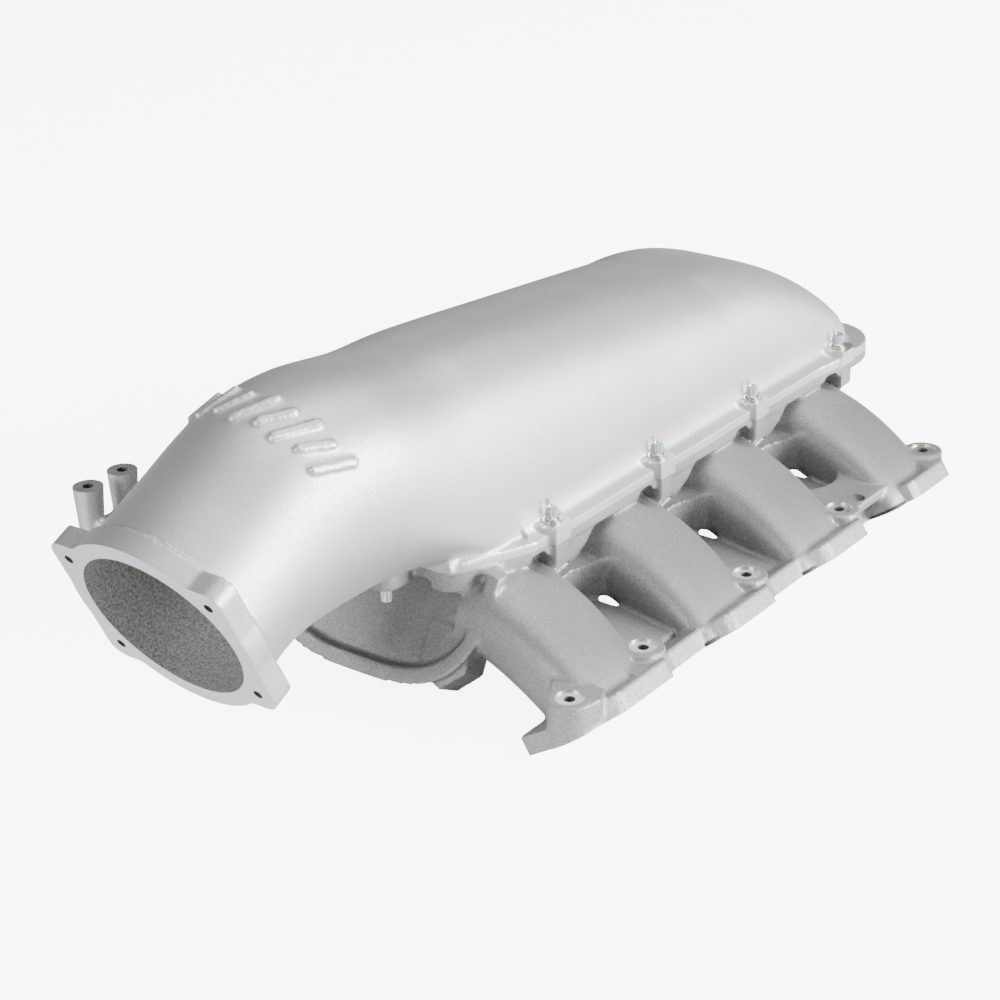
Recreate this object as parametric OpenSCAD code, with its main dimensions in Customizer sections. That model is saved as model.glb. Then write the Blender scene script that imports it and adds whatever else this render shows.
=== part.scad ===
// Intake manifold for a 90 degree V8 engine.  A cast plenum cover with a tilted throttle
// nose is bolted and sealed to a cast runner base, whose eight runners end in two head
// flanges.  X runs across the engine, the throttle is at -Y and +Z is up.

/* [Ports and head bolts] */
// Distance between neighbouring ports of one bank
port_pitch = 111.76; // [110:0.01:113]
// How far the left bank sits behind the right bank
bank_stagger = 24.2; // [20:0.1:28]
// Centre of the front port of the right bank, behind the front cover bolt
front_port_y = -61; // [-64:0.5:-58]
// Distance of the head bolts from the centre line
head_bolt_x = 159.4; // [157:0.1:162]
// Distance from a port centre to the head bolt beside it
head_bolt_offset = 36.3; // [35:0.1:38]
// Diameter of a head bolt hole
head_hole_d = 6.8; // [6.4:0.1:7.4]
// Height of the head bolt seats, below the top of the cover flange
head_seat_z = -49.1; // [-51:0.1:-47]
// Slope of the head flanges
head_slope = 32; // [30:0.5:34]
// Thickness of the head flanges
head_flange_t = 11.7; // [10:0.1:13]

/* [Runners] */
// Width of a port opening along the engine
port_w = 50; // [44:1:52]
// Height of a port opening across the engine
port_h = 28; // [24:1:29]
// Wall of a runner
runner_wall = 5; // [4:0.5:5.5]
// Extra width of a runner where it leaves the plenum
entry_extra_w = 5; // [3:1:8]
// Centre of the front runner's entry to the plenum
entry_y = -35; // [-37:0.5:-33]

/* [Plenum] */
// Half width of the plenum cover at its foot
cover_half_w = 72.5; // [71:0.5:73]
// Height of the roof at its front end, above the cover flange
roof_front_z = 106; // [100:1:110]
// Fall of the roof towards the rear, for each millimetre of length
roof_fall = 0.105; // [0.09:0.005:0.12]
// Wall of the cover
cover_wall = 5; // [4:0.5:6]
// Half width of the split flanges
flange_half_w = 82.5; // [82:0.5:84]
// Thickness of the cover flange
cover_flange_t = 10; // [9:0.5:11]
// How far the bolt pads stand above the cover flange
pad_rise = 4; // [3:0.5:5]
// Thickness of the base flange
base_flange_t = 7; // [6:0.5:10]

/* [Throttle flange] */
// Bore for the throttle body
throttle_bore_d = 105; // [102:0.5:106]
// Spacing of the throttle bolts across the engine
throttle_bolt_x = 102; // [100:0.5:104]
// Spacing of the throttle bolts up the flange
throttle_bolt_z = 72; // [70:0.5:74]
// Tilt of the throttle flange, nose down
throttle_tilt = 25.6; // [24:0.2:27]
// Thickness of the throttle flange
throttle_flange_t = 14.5; // [12:0.5:16]

/* [Fasteners and seals] */
// Diameter of the bolt shanks
bolt_d = 4.8; // [4.6:0.1:4.9]
// Diameter of the tapped holes for those bolts
tapped_d = 5; // [5:0.1:5.2]
// Diameter of the clearance holes for those bolts
clear_d = 5.4; // [5.3:0.1:6]
// Outer diameter of the washers
washer_d = 12.2; // [11:0.1:13]
// Thickness of the washers
washer_t = 1.3; // [1:0.1:1.6]
// Diameter of the tapped holes for the throttle body and the brackets
screw_d = 6; // [6:0.1:6.2]
// Width of the plenum seal
seal_w = 3; // [2.6:0.1:3.2]
// Height of the plenum seal
seal_h = 3; // [2.4:0.1:3.4]

/* [Hidden] */
// Places on the engine's length, measured from the front cover bolts
cover_bolt_x = 78;
throttle_y = -245.8;
throttle_z = 13.8;
front_edge_y = -76;
rear_edge_y = 388;
split_z = -cover_flange_t;

// Outlines of the flanges
throttle_flange_r = 63.3;
throttle_pad = [124, 96];
throttle_pad_r = 10;
throttle_bore_len = 42;
rear_corner_r = 35;
front_corner_r = 16;
front_wall_t = 7;
ear_r = 9.5;
foot_z = -27;
lip_z = -23;
pocket_z = -18;
pocket_r = 5.5;
pocket_reach = 2.8;
front_lip_len = 40;

// Two bolts at each end go up from below into the cover
end_bolts = [[-25, -91], [25, -91], [-32, 379], [32, 379]];
end_boss_r = 9;
end_boss_t = 10;

// Two tapped posts beside the nose
post_x = -80;
post_ys = [-216.5, -190];
post_top_z = 65;
post_foot_z = 22;
post_hole_len = 16;

// Mating plane of a head flange: height where x is head_edge_x
head_edge_x = 170;
head_edge_z = -67.5;
head_in_x = 137;
head_boss_r = 13;
port_x = 160;
fairing_z = -60;
fairing_h = 24;
web_z = -59;
low_web_z = -69.5;
low_web_x = 70;
web_t = 7;
pad_z = -78;
side_names = ["r", "l"];

// Belly of the base, with a front wall that leans forward
belly_lean = -28;
belly_top_z = -14;

// Smoothness of the lofts
cover_points = 44;
duct_points = 24;
$fn = 48;

function head_z(x) = head_edge_z + (x - head_edge_x) * tan(head_slope);

// The box of the whole part sets the origin at its bottom centre
low_z = head_z(head_in_x);
nose_tip_y = throttle_y - throttle_flange_r * sin(throttle_tilt);
mid_y = (nose_tip_y + rear_edge_y) / 2;

BOLT_NODES = [for (s = side_names, i = [1 : 4]) str("cover_bolt_", s, i)];
WASHER_NODES = [for (s = side_names, i = [1 : 4]) str("cover_washer_", s, i)];
SEAL_NODES = [for (s = side_names, i = [1 : 4]) str("port_seal_", s, i)];
END_NODES = ["front_bolt_l", "front_bolt_r", "rear_bolt_l", "rear_bolt_r"];
END_WASHER_NODES = ["front_washer_l", "front_washer_r", "rear_washer_l", "rear_washer_r"];

// ---- Lofts ----

// Rounded outline in a plane that leans by tilt: half width, reach up and reach down
function ring(y, z, tilt, half_w, up, down, power, count) = [
    for (i = [0 : count - 1])
        let (
            q = 360 * i / count,
            u = half_w * sign(cos(q)) * pow(abs(cos(q)), 2 / power),
            v = (sin(q) < 0 ? down : up) * sign(sin(q)) * pow(abs(sin(q)), 2 / power)
        )
        [u, y - v * sin(tilt), z + v * cos(tilt)]
];

function row_ring(r, count) = ring(r[0], r[1], r[2], r[3], r[4], r[5], r[6], count);

// Smooth curve through hand-set rows; s counts rows
function blend(a, b, c, d, t) =
    0.5 * (2 * b + (c - a) * t + (2 * a - 5 * b + 4 * c - d) * t * t
        + (3 * b - a - 3 * c + d) * t * t * t);
function row_at(rows, s) =
    let (last = len(rows) - 1, i = min(floor(s), last - 1))
    blend(rows[max(i - 1, 0)], rows[i], rows[i + 1], rows[min(i + 2, last)], s - i);

module loft(rings) {
    n = len(rings[0]);
    m = len(rings);
    sides = [
        for (j = [0 : m - 2], i = [0 : n - 1])
            let (a = j * n + i, b = j * n + (i + 1) % n)
            each [[a, b, b + n], [a, b + n, a + n]]
    ];
    first = [for (i = [n - 1 : -1 : 0]) i];
    last = [for (i = [0 : n - 1]) (m - 1) * n + i];
    polyhedron([for (r = rings) each r], concat(sides, [first, last]));
}

// ---- Plenum cover ----

// The roof falls evenly, then a little faster, and bends down behind tail_y
function roof_up(y) = roof_front_z - split_z - roof_fall * (y + 10)
    - rear_drop * max(y - drop_y, 0) / (tail_y - drop_y);
drop_y = 60;
rear_drop = 3;
tail_y = 215;
tail_len = 157;
tail_bend = 1.8;
tail_corner_r = 21;

// y, z, tilt, half width, up, down, roundness
nose_rows = [
    [-243.1, 15.1, throttle_tilt, 60, 60, 60, 2],
    [-205, 33.3, throttle_tilt, 60, 60, 60, 2],
    [-152, 47, 19, 62, 70, 68, 2.1],
    [-109.6, 42.7, 8, 66, 75, 56, 2.35],
    [-62, 15, 0, 70.5, 94, 28, 2.6],
    [-10, split_z, 0, cover_half_w, roof_up(-10), 20, 2.85],
    [100, split_z, 0, cover_half_w, roof_up(100), 20, 2.85],
    [tail_y, split_z, 0, cover_half_w, roof_up(tail_y), 20, 2.85]
];
tail_ys = [235, 255, 275, 295, 312, 328, 341, 352, 361, 367, 370.5];

function corner_half_w(y, shrink) =
    let (r = tail_corner_r, from_y = tail_y + tail_len - r)
    y < from_y ? cover_half_w - shrink
        : cover_half_w - shrink - r + sqrt(max(r * r - pow(y - from_y, 2), 0));

function tail_row(y, wall) =
    let (u = (y - tail_y) / (tail_len - wall), b = tail_bend)
    [y, split_z, 0, corner_half_w(y + wall, wall),
        (roof_up(tail_y) - wall) * pow(1 - pow(u, b), 1 / b), 20, 2.85 + min(u, 0.6)];

function cover_rings() = concat(
    [for (s = [0 : 0.36 : 6.9]) row_ring(row_at(nose_rows, s), cover_points)],
    [row_ring(nose_rows[7], cover_points)],
    [for (y = tail_ys) row_ring(tail_row(y, 0), cover_points)]
);

// The inside follows the outside one wall in, and opens through the split plane
bore_r = throttle_bore_d / 2;
inner_rows = [
    [-212, 30, throttle_tilt, bore_r - 0.2, bore_r - 0.2, bore_r - 0.2, 2],
    [-205, 33.3, throttle_tilt, 53, 53, 53, 2],
    [-152, 47, 19, 62 - cover_wall, 70 - cover_wall, 68 - cover_wall, 2.1],
    [-109.6, 42.7, 8, 66 - cover_wall, 75 - cover_wall, 56 - cover_wall, 2.35],
    [-66, 15, 0, 70 - cover_wall, 94 - cover_wall, 21, 2.6],
    [-40, 0, 0, cover_half_w - 6.5, 101, 22, 2.75],
    [-10, split_z, 0, cover_half_w - 6.5, roof_up(-10) - cover_wall, 20, 2.85],
    [100, split_z, 0, cover_half_w - 6.5, roof_up(100) - cover_wall, 20, 2.85],
    [tail_y, split_z, 0, cover_half_w - 6.5, roof_up(tail_y) - cover_wall, 20, 2.85]
];
tail_inner_ys = [250, 285, 315, 336, 350, 359];

function cover_inner_rings() = concat(
    [for (s = [0 : 0.4 : 7.9]) row_ring(row_at(inner_rows, s), cover_points)],
    [row_ring(inner_rows[8], cover_points)],
    [for (y = tail_inner_ys) row_ring(tail_row(y, 6.5), cover_points)]
);

function arc(c, r, from, to, steps) = [
    for (i = [0 : steps]) let (q = from + (to - from) * i / steps)
        c + r * [cos(q), sin(q)]
];

// Right half of the split flange outline, then its mirror image
function flange_half() = concat(
    [[0, front_edge_y]],
    arc([50, front_edge_y + front_corner_r], front_corner_r, -90, -20, 5),
    arc([flange_half_w - 12, -20], 12, -20, 0, 2),
    [[flange_half_w, 300], [flange_half_w + 3, 318]],
    arc([flange_half_w + 3 - rear_corner_r, rear_edge_y - rear_corner_r],
        rear_corner_r, 0, 90, 8)
);
function mirrored(half) = [for (i = [len(half) - 1 : -1 : 1]) [-half[i][0], half[i][1]]];

module flange_plate(z, t) {
    half = flange_half();
    translate([0, 0, z]) linear_extrude(t) polygon(concat(half, mirrored(half)));
}

// Places of the cover bolts, turned so that +X points outwards on both banks
module at_cover_bolts(last = 3) {
    for (side = [1, -1], i = [0 : last])
        translate([side * cover_bolt_x, i * port_pitch, 0]) mirror([side > 0 ? 0 : 1, 0, 0]) children();
}

// A square ear that runs back into the wall of the cover
module pad_outline() {
    polygon([[-10, -17], [-6, -17], [4, -ear_r], [ear_r, -ear_r], [ear_r, 6], [5, ear_r + 1],
        [-10, ear_r + 1]]);
}

module throttle_frame() {
    translate([0, throttle_y, throttle_z]) rotate([throttle_tilt - 90, 0, 0]) children();
}

module throttle_outline() {
    circle(r = throttle_flange_r, $fn = 96);
    w = throttle_pad[0] / 2 - throttle_pad_r;
    h = throttle_pad[1] / 2 - throttle_pad_r;
    for (sx = [-1, 1], sy = [-1, 1]) translate([sx * w, sy * h]) circle(r = throttle_pad_r);
    square([throttle_pad[0], 2 * h], center = true);
    square([2 * w, throttle_pad[1]], center = true);
}

module post(y) {
    translate([post_x, y, post_foot_z]) cylinder(r1 = 6, r2 = 8.8, h = post_top_z - post_foot_z);
    translate([post_x, y - 3, post_foot_z + 4]) cube([34, 6, 20]);
}

module cover_body() {
    difference() {
        loft(cover_rings());
        translate([-120, front_edge_y, -100]) cube([240, 500, 100 + split_z]);
    }
    flange_plate(split_z, cover_flange_t - pad_rise);
    at_cover_bolts() translate([0, 0, split_z]) linear_extrude(cover_flange_t) pad_outline();
    throttle_frame() linear_extrude(throttle_flange_t) throttle_outline();
    for (p = end_bolts) translate([p[0], p[1], split_z]) cylinder(r = end_boss_r, h = 15);
    for (y = post_ys) post(y);
    front_wall();
}

// Wall across the front end, from the split flange up into the nose
module front_wall() {
    translate([0, front_edge_y + front_wall_t, split_z]) rotate([90, 0, 0]) linear_extrude(front_wall_t)
        polygon([[-62, 0], [62, 0], [58, 10], [49, 30], [0, 40], [-49, 30], [-58, 10]]);
}

module plenum_cover() {
    color("gainsboro") difference() {
        cover_body();
        loft(cover_inner_rings());
        throttle_frame() {
            translate([0, 0, -1]) cylinder(d = throttle_bore_d, h = throttle_bore_len + 1, $fn = 128);
            for (sx = [-1, 1], sy = [-1, 1])
                translate([sx * throttle_bolt_x / 2, sy * throttle_bolt_z / 2, -1])
                    cylinder(d = screw_d, h = throttle_flange_t + 2);
        }
        at_cover_bolts() translate([0, 0, split_z - 1]) cylinder(d = clear_d, h = cover_flange_t + 2);
        for (p = end_bolts) translate([p[0], p[1], split_z - 1]) cylinder(d = tapped_d, h = 15);
        for (y = post_ys) translate([post_x, y, post_top_z - post_hole_len])
            cylinder(d = screw_d, h = post_hole_len + 1);
    }
}

// ---- Runner base ----

// Centre line of a runner in the XZ plane: a cubic curve from the plenum to the head
entry = [58, -37];
exit = [port_x, head_z(port_x)];
entry_pull = 42;
exit_pull = 20;
exit_dir = [sin(head_slope), -cos(head_slope)];
under_sag = 5;
entry_drop = 6;
outer_extra_w = 9;
pulls = [entry, entry + entry_pull * [cos(5), -sin(5)], exit - exit_pull * exit_dir, exit];

function centre(t) =
    pow(1 - t, 3) * pulls[0] + 3 * t * pow(1 - t, 2) * pulls[1]
        + 3 * t * t * (1 - t) * pulls[2] + pow(t, 3) * pulls[3];
function heading(t) =
    let (d = pow(1 - t, 2) * (pulls[1] - pulls[0]) + 2 * t * (1 - t) * (pulls[2] - pulls[1])
        + t * t * (pulls[3] - pulls[2]))
    d / norm(d);
function ease(t) = t * t * (3 - 2 * t);

// One ring of a runner; past t = 1 it runs straight on through the mating plane.  Near the
// plenum the outside is wider than the passage needs, and it hangs a little lower halfway.
function duct_ring(t, side, shift, grow) =
    let (
        c = t > 1 ? exit + (t - 1) * 100 * exit_dir : centre(t),
        d = t > 1 ? exit_dir : heading(t),
        k = ease(min(t, 1)),
        outside = grow > 0,
        w = (port_w + (entry_extra_w + (outside ? outer_extra_w : 0)) * (1 - k)) / 2 + grow,
        h = (port_h + 2 * (1 - k)) / 2 + grow,
        start_y = outside ? entry_y - 2 : entry_y,
        y = start_y + (shift - start_y) * k,
        top_power = 2.8 + 1.2 * k,
        low = outside ? entry_drop * (1 - k) : 0,
        sag = outside ? under_sag * sin(180 * min(t, 1)) : 0
    )
    [
        for (i = [0 : duct_points - 1])
            let (
                q = 360 * i / duct_points * side,
                u = w * sign(sin(q)) * pow(abs(sin(q)), 2 / (cos(q) < 0 ? 4 : top_power)),
                v = (cos(q) < 0 ? -(h - low + sag) * pow(-cos(q), 0.5)
                    : (h + low) * pow(cos(q), 2 / top_power)) - low
            )
            [side * (c[0] - v * d[1]), y + u, c[1] + v * d[0]]
    ];

module duct(side, grow, from, to) {
    shift = front_port_y + (side > 0 ? 0 : bank_stagger);
    loft([for (t = [from : (to - from) / 8 : to + 0.001]) duct_ring(t, side, shift, grow)]);
}

module ducts(grow, from, to) {
    for (side = [1, -1], i = [0 : 3]) translate([0, i * port_pitch, 0]) duct(side, grow, from, to);
}

// Curved fillet between the side of the belly and the front of a runner, low down
module fairing() {
    translate([0, 0, fairing_z]) linear_extrude(fairing_h)
        polygon([[68, -60], [68, -102], [76, -100], [79, -91], [84, -83], [92, -77], [102, -73], [102, -60]]);
}

// Frame of a head flange: u runs along the engine, v up the slope, w out of the mating face
module head_frame(side) {
    translate([side * head_edge_x, side > 0 ? 0 : bank_stagger, head_edge_z])
        rotate([0, -side * head_slope, 0]) children();
}

function bolt_y(i) = front_port_y + head_bolt_offset * (i == 0 ? -1 : 1) + max(i - 1, 0) * port_pitch;

module at_head_bolts() {
    for (side = [1, -1], i = [0 : 4])
        translate([side * head_bolt_x, bolt_y(i) + (side > 0 ? 0 : bank_stagger), 0]) children();
}

// Outline of a head flange seen along its normal, on the right bank.  It is wide beside each
// runner and narrow behind each bolt, and most narrow in front of the rear runner.
flange_in = -(head_edge_x - head_in_x) / cos(head_slope);
narrow_v = 2;
wide_v = 14.5;
waist_v = -16;
module head_outline() {
    front_y = bolt_y(0) - head_boss_r + 1;
    rear_y = bolt_y(4) + head_boss_r;
    polygon(concat(
        [[flange_in, front_y + 8], [flange_in + 3, front_y], [-8, front_y], [3, bolt_y(0) - 4]],
        [[6, bolt_y(0) + 8], [wide_v, bolt_y(0) + 24]],
        bulge_end(1, narrow_v), bulge_start(2, narrow_v), bulge_end(2, narrow_v), bulge_start(3, narrow_v),
        bulge_end(3, waist_v), bulge_start(4, waist_v), [[wide_v, bolt_y(4) - 4], [3, rear_y - 6]],
        [[-6, rear_y], [flange_in + 6, rear_y], [flange_in, rear_y - 6]]
    ));
}

// A bulge ends in a square corner at bolt i, and starts again in front of the next runner
function bulge_end(i, v) = [[wide_v, bolt_y(i) - 2], [3, bolt_y(i) + 4], [3, bolt_y(i) + 11],
    [v, bolt_y(i) + 15]];
function bulge_start(i, v) = [[v, bolt_y(i) - 63], [v + 3, bolt_y(i) - 58], [wide_v - 2, bolt_y(i) - 50],
    [wide_v, bolt_y(i) - 44]];

module head_plate(side) {
    head_frame(side) mirror([side > 0 ? 0 : 1, 0, 0]) linear_extrude(head_flange_t) head_outline();
}

// Slab under everything that the mating planes cut off
module below_heads() {
    for (side = [1, -1]) head_frame(side) translate([-150, -300, -80]) cube([300, 800, 80]);
}

module head_boss() {
    translate([0, 0, head_z(head_bolt_x) - 12])
        cylinder(r = head_boss_r, h = head_seat_z - head_z(head_bolt_x) + 12);
}

// Belly: y, z, tilt, half width, up, down, roundness
belly_rows = [
    [-59, belly_top_z, belly_lean, 83, 4, 77, 3],
    [-52, belly_top_z, belly_lean, 83, 4, 77, 3],
    [-45, belly_top_z, belly_lean, 75, 4, 72, 3],
    [-5, belly_top_z, 0, 73, 4, 62, 3],
    [300, belly_top_z, 0, 73, 4, 57, 3],
    [345, belly_top_z, 0, 71, 4, 52, 3],
    [366, belly_top_z, 0, 60, 4, 40, 3],
    [378, belly_top_z, 0, 46, 4, 24, 3]
];
belly_inner_rows = [
    [-44, belly_top_z, belly_lean, 60, 12, 66, 3],
    [-5, belly_top_z, 0, 66, 12, 56, 3],
    [300, belly_top_z, 0, 66, 12, 51, 3],
    [343, belly_top_z, 0, 64, 12, 45, 3],
    [362, belly_top_z, 0, 54, 12, 30, 3]
];
belly_dish_rows = [
    [-69, belly_top_z, belly_lean, 76, 1, 69, 3],
    [-56, belly_top_z, belly_lean, 71, 1, 64, 3]
];

module belly(rows) {
    loft([for (r = rows) row_ring(r, cover_points)]);
}

// Level web between the two rear runners, with a round window and a round hole
module rear_web(side) {
    y0 = bolt_y(3);
    shift = side > 0 ? 0 : bank_stagger;
    mirror([side > 0 ? 0 : 1, 0, 0]) translate([0, y0 + shift, web_z]) difference() {
        translate([100, -8, 0]) cube([64, 62, web_t]);
        translate([105, 40, -1]) cylinder(r = 26, h = web_t + 2);
        translate([157, 27, -1]) cylinder(r = 5.5, h = web_t + 2);
    }
}

// Low plain webs between the runners: head bolt before it, outer end, start and end behind that bolt
low_webs = [[1, 150, 22, 56], [2, 152, -8, 56], [3, 128, -8, 56]];
module low_web(side, web) {
    mirror([side > 0 ? 0 : 1, 0, 0])
        translate([low_web_x, bolt_y(web[0]) + (side > 0 ? 0 : bank_stagger) + web[2], low_web_z])
            cube([web[1] - low_web_x, web[3] - web[2], web_t]);
}

// Flat pads beside three head bolts, which drop straight to the edge of the flange
head_pads = [
    [0, 0, [[139.4, 13.3], [148.3, -3.7], [160.4, -8.7], [171.5, -0.7], [173.4, 9.3], [168.5, 19.3],
        [154.5, 17.3]]],
    [1, 3, [[152, -26], [172, -24], [174, -8], [169, 0], [152, 0]]],
    [4, 1.5, [[150, 7], [152, -12], [174, -21], [174, -2], [165, 13]]]
];
module head_pad(side, pad) {
    top_z = head_seat_z - pad[1];
    mirror([side > 0 ? 0 : 1, 0, 0]) translate([0, bolt_y(pad[0]) + (side > 0 ? 0 : bank_stagger), pad_z])
        linear_extrude(top_z - pad_z) polygon(pad[2]);
}

module base_body() {
    flange_plate(split_z - base_flange_t, base_flange_t);
    difference() {
        belly(belly_rows);
        belly(belly_dish_rows);
    }
    at_cover_bolts() translate([0, 0, foot_z]) linear_extrude(split_z - foot_z)
        polygon([[-9, -8], [8.4, -8], [8.4, 5], [6, 8], [-9, 8]]);
    at_cover_bolts(last = 2) lip();
    intersection() {
        flange_plate(lip_z, split_z - lip_z);
        for (side = [1, -1]) translate([side > 0 ? 45 : -95, front_edge_y, lip_z])
            cube([50, front_lip_len, split_z - lip_z]);
    }
    for (side = [1, -1]) foot(side);
    for (p = end_bolts) translate([p[0], p[1], split_z - end_boss_t]) {
        cylinder(r = end_boss_r, h = end_boss_t);
        translate([-end_boss_r, p[1] < 0 ? 0 : -24, 0]) cube([2 * end_boss_r, 24, end_boss_t]);
    }
    difference() {
        union() {
            ducts(runner_wall, 0.05, 1.1);
            for (side = [1, -1], i = [1 : 3]) translate([0, i * port_pitch, 0])
                mirror([side > 0 ? 0 : 1, 0, 0]) fairing();
            for (side = [1, -1]) {
                head_plate(side);
                rear_web(side);
                for (web = low_webs) low_web(side, web);
                for (pad = head_pads) head_pad(side, pad);
            }
            at_head_bolts() head_boss();
        }
        below_heads();
        at_head_bolts() translate([0, 0, head_seat_z]) cylinder(r = 8.6, h = 30);
    }
}

// Deep lip of the flange behind a bolt column, where there is no runner
module lip() {
    translate([flange_half_w - cover_bolt_x, 0, 0]) rotate([90, 0, -90]) linear_extrude(16)
        polygon([[0, -28], [-7, -28], [-13, -33], [-30, -26], [-38, -18], [-46, split_z], [0, split_z]]);
}

// Blunt foot behind the lower corner of the belly's front wall
module foot(side) {
    translate([0, -58, belly_top_z]) rotate([belly_lean + 90, 0, 0]) translate([0, 0, -22]) linear_extrude(20)
        mirror([side > 0 ? 0 : 1, 0, 0]) polygon([[42, -66], [60, -73], [75, -58], [75, -34], [42, -34]]);
}

module runner_base() {
    color("silver") difference() {
        base_body();
        belly(belly_inner_rows);
        ducts(0, 0, 1.1);
        translate([0, 0, split_z - seal_h + 0.2]) seal_track(seal_w + 0.4, seal_h);
        for (side = [1, -1], i = [0 : 3]) translate([0, i * port_pitch, 0])
            port_frame(side) translate([0, 0, -1]) port_ring(2.8, 3.2);
        at_cover_bolts() translate([0, 0, foot_z + 2]) cylinder(d = tapped_d, h = 40);
        at_head_bolts() translate([0, 0, low_z - 10]) cylinder(d = head_hole_d, h = 80);
        for (p = end_bolts) translate([p[0], p[1], split_z - end_boss_t - 1])
            cylinder(d = clear_d, h = end_boss_t + 2);
        at_cover_bolts() translate([-4, -19.2, pocket_z]) rotate([0, 90, 0]) {
            for (dy = [-pocket_reach, pocket_reach]) translate([0, dy, 0]) cylinder(r = pocket_r, h = 20);
            translate([-pocket_r, -pocket_reach, 0]) cube([2 * pocket_r, 2 * pocket_reach, 20]);
        }
    }
}

// ---- Seals ----

module round_rect(w, l, r) {
    for (sx = [-1, 1], sy = [-1, 1]) translate([sx * (w / 2 - r), sy * (l / 2 - r)]) circle(r = r);
    square([w, l - 2 * r], center = true);
    square([w - 2 * r, l], center = true);
}

track_x = 70.6;
track_front_y = -61;
track_rear_y = 375;
module seal_track(w, h) {
    wide = 2 * track_x;
    long = track_rear_y - track_front_y;
    translate([0, (track_front_y + track_rear_y) / 2, 0]) linear_extrude(h) difference() {
        round_rect(wide + w, long + w, 24 + w / 2);
        round_rect(wide - w, long - w, 24 - w / 2);
    }
}

module plenum_seal() {
    color("dimgray") translate([0, 0, split_z - seal_h + 0.3]) seal_track(seal_w, seal_h - 0.4);
}

// Frame of a port on the mating plane, w into the flange
module port_frame(side) {
    y = front_port_y + (side > 0 ? 0 : bank_stagger);
    translate([side * exit[0], y, exit[1]]) rotate([0, -side * head_slope, 0]) children();
}

module port_ring(w, h) {
    linear_extrude(h) difference() {
        round_rect(port_h + 8 + w, port_w + 8 + w, 10 + w / 2);
        round_rect(port_h + 8 - w, port_w + 8 - w, 10 - w / 2);
    }
}

module port_seal(side, i) {
    color("darkslategray") translate([0, i * port_pitch, 0]) port_frame(side) port_ring(2.4, 2);
}

// ---- Fasteners ----

head_h = 6.6;
collar_d = 9;
collar_t = 1.6;
twelve_point_d = 7.3;
module bolt(length) {
    translate([0, 0, -length]) cylinder(d = bolt_d, h = length + 0.5);
    cylinder(d = collar_d, h = collar_t);
    for (turn = [0, 30]) rotate([0, 0, turn]) cylinder(d = twelve_point_d, h = head_h + collar_t, $fn = 6);
}

module washer() {
    difference() {
        cylinder(d = washer_d, h = washer_t);
        translate([0, 0, -1]) cylinder(d = clear_d, h = washer_t + 2);
    }
}

cover_bolt_len = 24;
end_bolt_len = 22;
module cover_bolt(side, i) {
    color("lightsteelblue") translate([side * cover_bolt_x, i * port_pitch, washer_t])
        bolt(cover_bolt_len);
}

module cover_washer(side, i) {
    color("lightsteelblue") translate([side * cover_bolt_x, i * port_pitch, 0]) washer();
}

module end_frame(k) {
    translate([end_bolts[k][0], end_bolts[k][1], split_z - end_boss_t]) mirror([0, 0, 1]) children();
}

module end_bolt(k) {
    color("lightsteelblue") end_frame(k) translate([0, 0, washer_t]) bolt(end_bolt_len);
}

module end_washer(k) {
    color("lightsteelblue") end_frame(k) washer();
}

// ---- Assembly ----

module place() {
    translate([0, -mid_y, -low_z]) children();
}

place() plenum_cover();
place() runner_base();
place() plenum_seal();
for (s = [0, 1], i = [0 : 3]) {
    k = 4 * s + i;
    side = 1 - 2 * s;
    place() port_seal(side, i);
    place() cover_bolt(side, i);
    place() cover_washer(side, i);
}
for (k = [0 : 3]) {
    place() end_bolt(k);
    place() end_washer(k);
}
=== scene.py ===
import math
import bpy
import bmesh
from mathutils import Matrix, Vector


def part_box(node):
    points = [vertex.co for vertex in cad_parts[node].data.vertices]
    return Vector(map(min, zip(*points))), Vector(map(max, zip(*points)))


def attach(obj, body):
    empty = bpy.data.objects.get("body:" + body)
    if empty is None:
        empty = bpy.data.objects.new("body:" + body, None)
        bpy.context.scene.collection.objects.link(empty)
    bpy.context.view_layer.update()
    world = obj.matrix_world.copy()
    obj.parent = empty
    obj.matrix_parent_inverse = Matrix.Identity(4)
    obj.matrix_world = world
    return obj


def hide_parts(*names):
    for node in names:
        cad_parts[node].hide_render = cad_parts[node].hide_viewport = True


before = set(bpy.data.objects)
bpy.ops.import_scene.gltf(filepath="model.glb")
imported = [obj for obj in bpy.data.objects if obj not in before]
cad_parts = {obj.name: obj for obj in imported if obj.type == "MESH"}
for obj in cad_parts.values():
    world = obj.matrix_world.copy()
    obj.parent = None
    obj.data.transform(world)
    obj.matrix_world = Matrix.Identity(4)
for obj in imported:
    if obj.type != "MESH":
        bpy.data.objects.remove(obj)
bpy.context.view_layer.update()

mm = 0.001

# Shapes are drawn in millimetres around the front pair of cover bolts: X across the engine with the
# right bank at +X, Y towards the rear, and height 0 on top of the bolt pads.
padLow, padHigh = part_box("cover_washer_r1")
home = Vector((0, (padLow.y + padHigh.y) / 2, padLow.z))


def inFrame(p):
    return (p[0] * mm + home.x, p[1] * mm + home.y, p[2] * mm + home.z)


# ---------- small mesh tools ----------

def addFaces(shell, points, faces):
    first = len(shell["points"])
    shell["points"] += [tuple(p) for p in points]
    shell["faces"] += [[first + i for i in face] for face in faces]


def newShell():
    return {"points": [], "faces": []}


def addLoft(shell, rings):
    n, m = len(rings[0]), len(rings)
    faces = []
    for j in range(m - 1):
        for i in range(n):
            a, b = j * n + i, j * n + (i + 1) % n
            faces.append([a, b, b + n, a + n])
    faces.append(list(range(n - 1, -1, -1)))
    faces.append([(m - 1) * n + i for i in range(n)])
    addFaces(shell, [p for ring in rings for p in ring], faces)


def addPrism(shell, outline, low, high, put):
    addLoft(shell, [[put(u, v, w) for u, v in outline] for w in (low, high)])


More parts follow.
